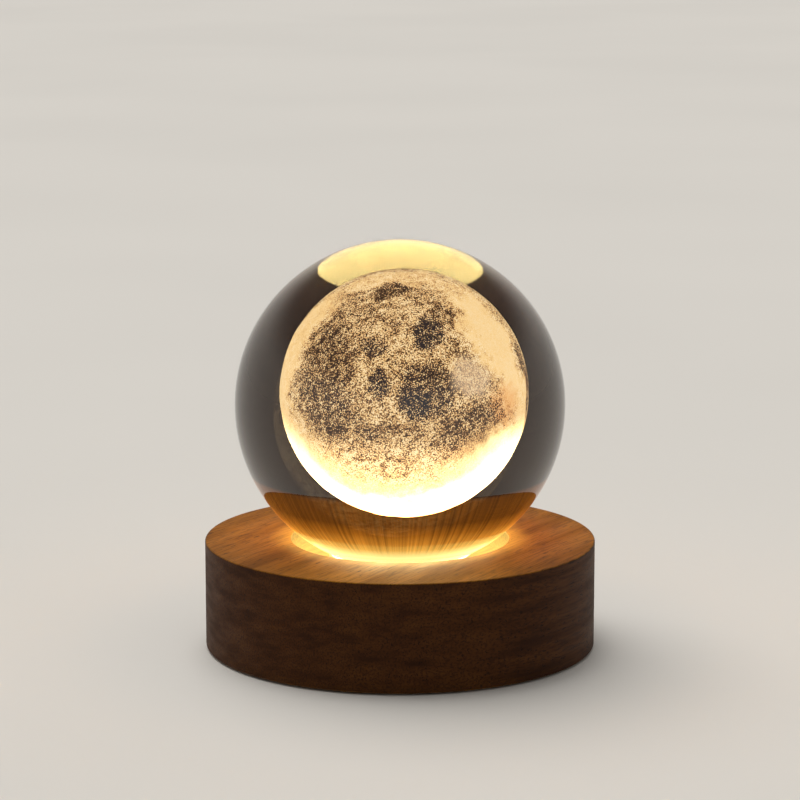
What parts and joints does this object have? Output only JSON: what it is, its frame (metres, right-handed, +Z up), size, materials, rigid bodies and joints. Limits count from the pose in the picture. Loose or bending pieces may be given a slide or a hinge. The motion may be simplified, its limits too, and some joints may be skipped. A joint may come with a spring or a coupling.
{
  "type": "crystal ball lamp",
  "caption": "Clear glass ball with a moon engraved inside, resting in the lit recess of a round wooden base with a hidden rechargeable light, a charging socket and a push button.",
  "frame": {"origin": "centre of the round base on the surface that the feet stand on", "axes": "+Z up along the axis of the base and the ball, -Y towards the front that the picture shows, +Y towards the back with the charging socket and the button"},
  "size_m": [0.095, 0.095, 0.0994],
  "materials": {
    "clear_glass": "polished optical glass",
    "engraved_glass": "fine white engraving dots with brown shaded seas",
    "clear_silicone": "soft, satin, lets light through",
    "beech_wood": "sanded, fine pores, thin matt oil",
    "black_plastic": "fine spark texture",
    "black_rubber": "satin",
    "zinc_screw": "zinc plated",
    "frosted_plastic": "frosted",
    "white_plastic": "smooth moulded",
    "white_board": "white coated circuit board",
    "light_chip": "yellow phosphor in a white frame",
    "red_wire": "insulated wire",
    "green_board": "green coated circuit board",
    "chip_black": "moulded component",
    "ferrite_grey": "pressed ferrite",
    "ceramic_tan": "fired ceramic",
    "nickel_steel": "nickel plated",
    "clear_plastic": "clear moulded rod",
    "button_plastic": "satin moulded",
    "spring_steel": "drawn wire",
    "foil_silver": "laminated foil",
    "white_foam": "foam tape"
  },
  "bodies": {
    "base": {"wooden_base": "beech_wood", "bottom_cover": "black_plastic", "rubber_feet": "black_rubber", "cover_screws": "zinc_screw", "light_window": "frosted_plastic", "led_holder": "white_plastic", "holder_screws": "zinc_screw", "led_board": "white_board", "led_chips": "light_chip", "led_board_screws": "zinc_screw", "led_leads": "red_wire", "port_insert": "black_plastic", "control_board": "green_board", "control_board_screws": "zinc_screw", "charging_chip": "chip_black", "power_inductor": "ferrite_grey", "chip_capacitors": "ceramic_tan", "chip_resistors": "chip_black", "usb_socket_shell": "nickel_steel", "usb_socket_tongue": "chip_black", "indicator_led": "light_chip", "indicator_light_pipe": "clear_plastic", "switch_housing": "chip_black", "switch_spring": "spring_steel", "battery_socket": "white_plastic", "battery_plug": "white_plastic", "battery_leads": "red_wire", "battery_cell": "foil_silver", "cell_protection_board": "green_board", "cell_foam_tape": "white_foam"},
    "seat": {"seat_ring": "clear_silicone"},
    "ball": {"crystal_ball": "clear_glass", "engraved_moon": "engraved_glass"},
    "button": {"power_button": "button_plastic", "switch_plunger": "white_plastic"}
  },
  "joints": [
    {"name": "ball_turn", "type": "hinge", "parent": "base", "child": "seat", "pos_m": [0, 0, 0.0203], "axis": [0, 0, 1], "continuous": true},
    {"name": "ball_lift", "type": "slide", "parent": "seat", "child": "ball", "axis": [0, 0, 1], "range_m": [0, 0.02]},
    {"name": "button_press", "type": "slide", "parent": "base", "child": "button", "axis": [0, -1, 0], "range_m": [0, 0.0008], "stiffness_N_per_m": 1500, "springref_m": -0.0005, "deforming": ["switch_spring"]}
  ]
}
